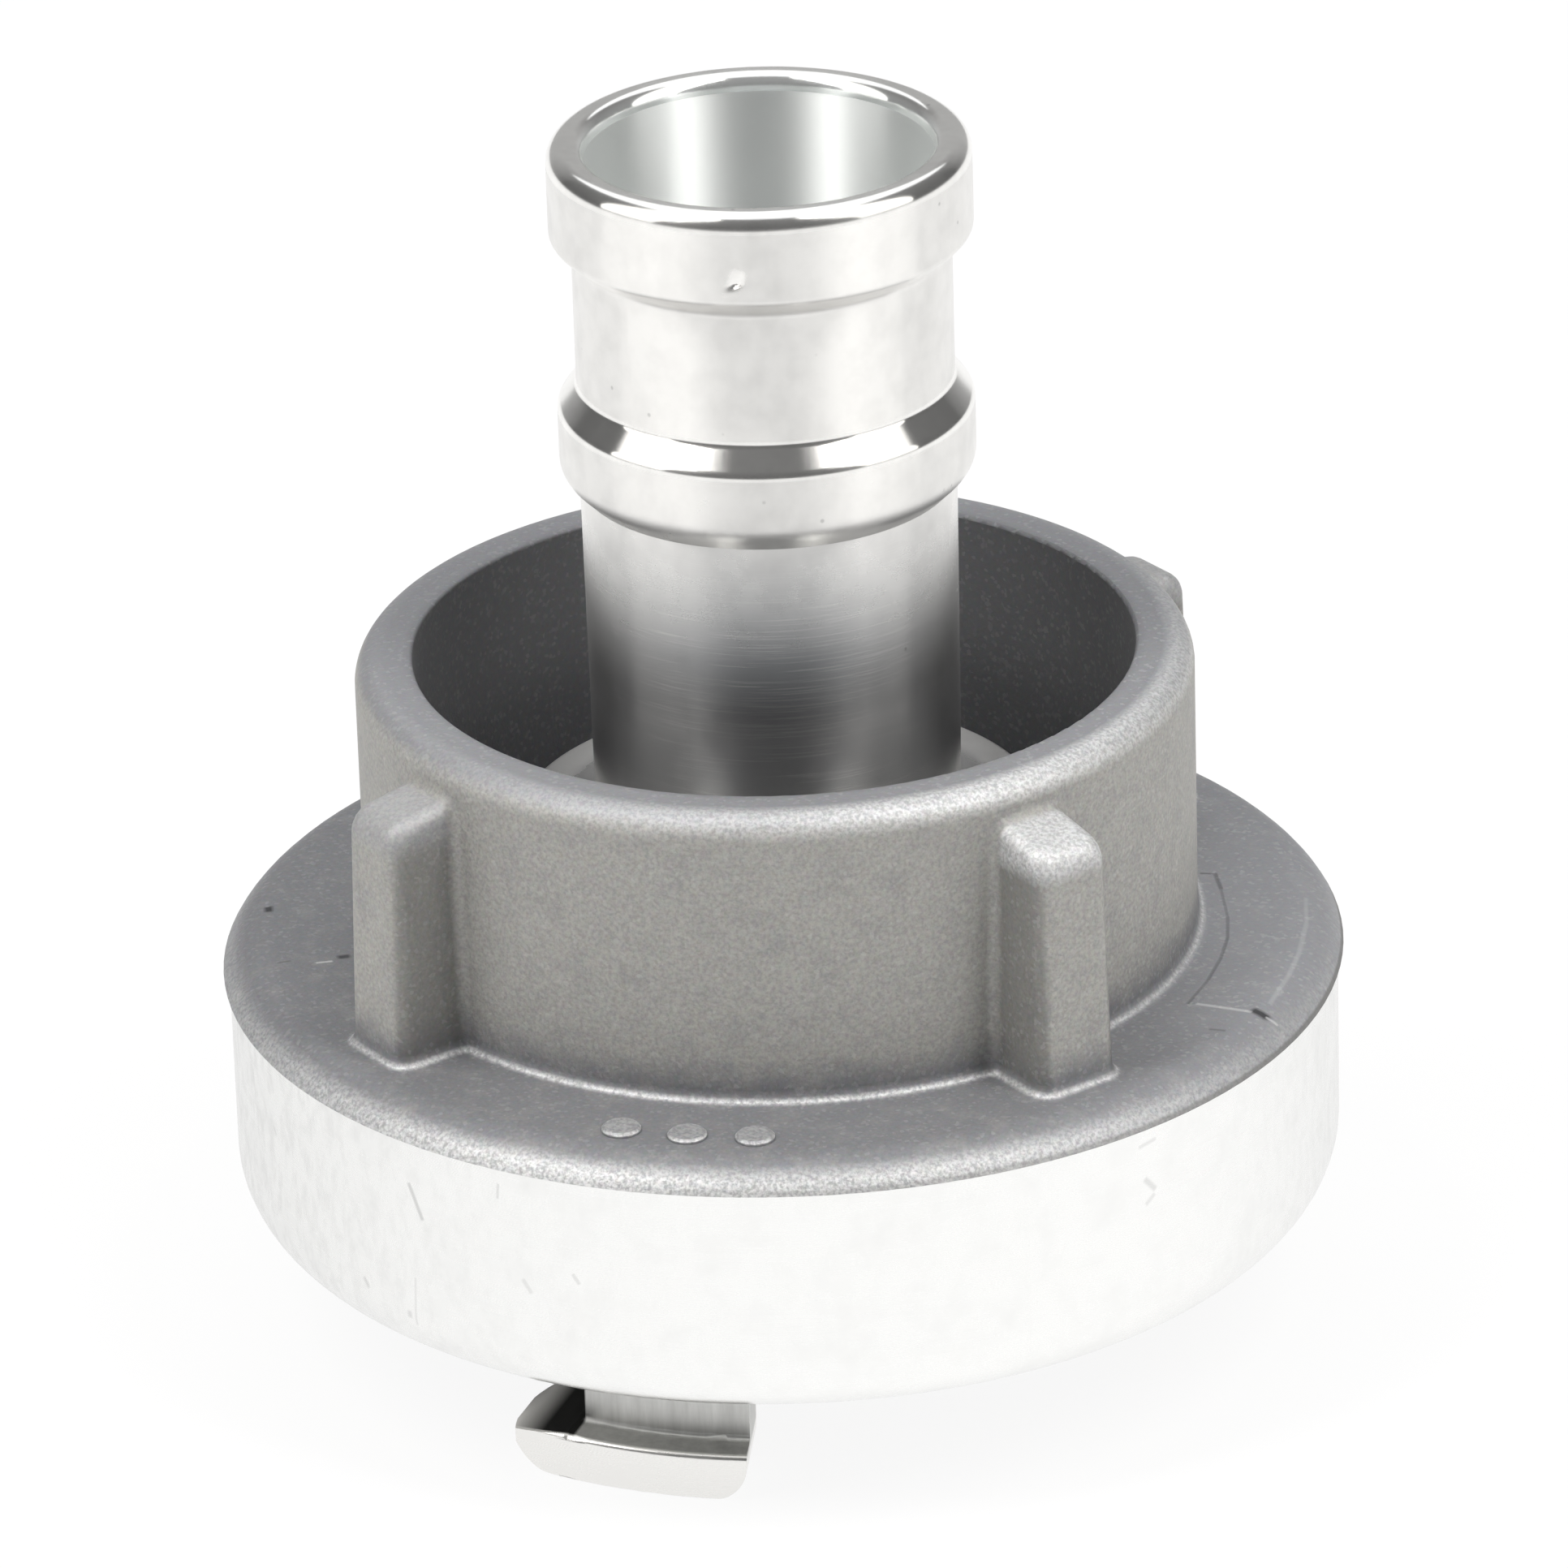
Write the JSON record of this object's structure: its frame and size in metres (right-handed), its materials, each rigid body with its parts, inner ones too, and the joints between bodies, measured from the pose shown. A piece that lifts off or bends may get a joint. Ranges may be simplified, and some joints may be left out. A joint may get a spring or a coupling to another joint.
{
  "type": "claw coupling half with hose tail",
  "caption": "Claw hose coupling half: cast ring with hooked claws, round band and ribbed grip sleeve, turning freely on a beaded, turned hose tail with a front gasket.",
  "frame": {"origin": "on the axis, in the plane of the two claw tips that the coupling stands on", "axes": "+Z along the axis from the claws up to the hose end; the two claws lie towards -Y and +Y, the slots for the other half's claws towards -X and +X"},
  "size_m": [0.099, 0.099, 0.11],
  "materials": {
    "cast_aluminium": "shot-blasted casting with a turned, satin band and milled claws",
    "turned_aluminium": "bright turned",
    "spring_steel": "drawn wire",
    "black_rubber": "matt moulded rubber"
  },
  "bodies": {
    "ring": {"claw_ring": "cast_aluminium"},
    "tail": {"hose_tail": "turned_aluminium", "snap_ring": "spring_steel", "gasket": "black_rubber"}
  },
  "joints": [
    {"name": "ring_swivel", "type": "hinge", "parent": "ring", "child": "tail", "pos_m": [0, 0, 0.0288], "axis": [0, 0, 1], "continuous": true}
  ]
}
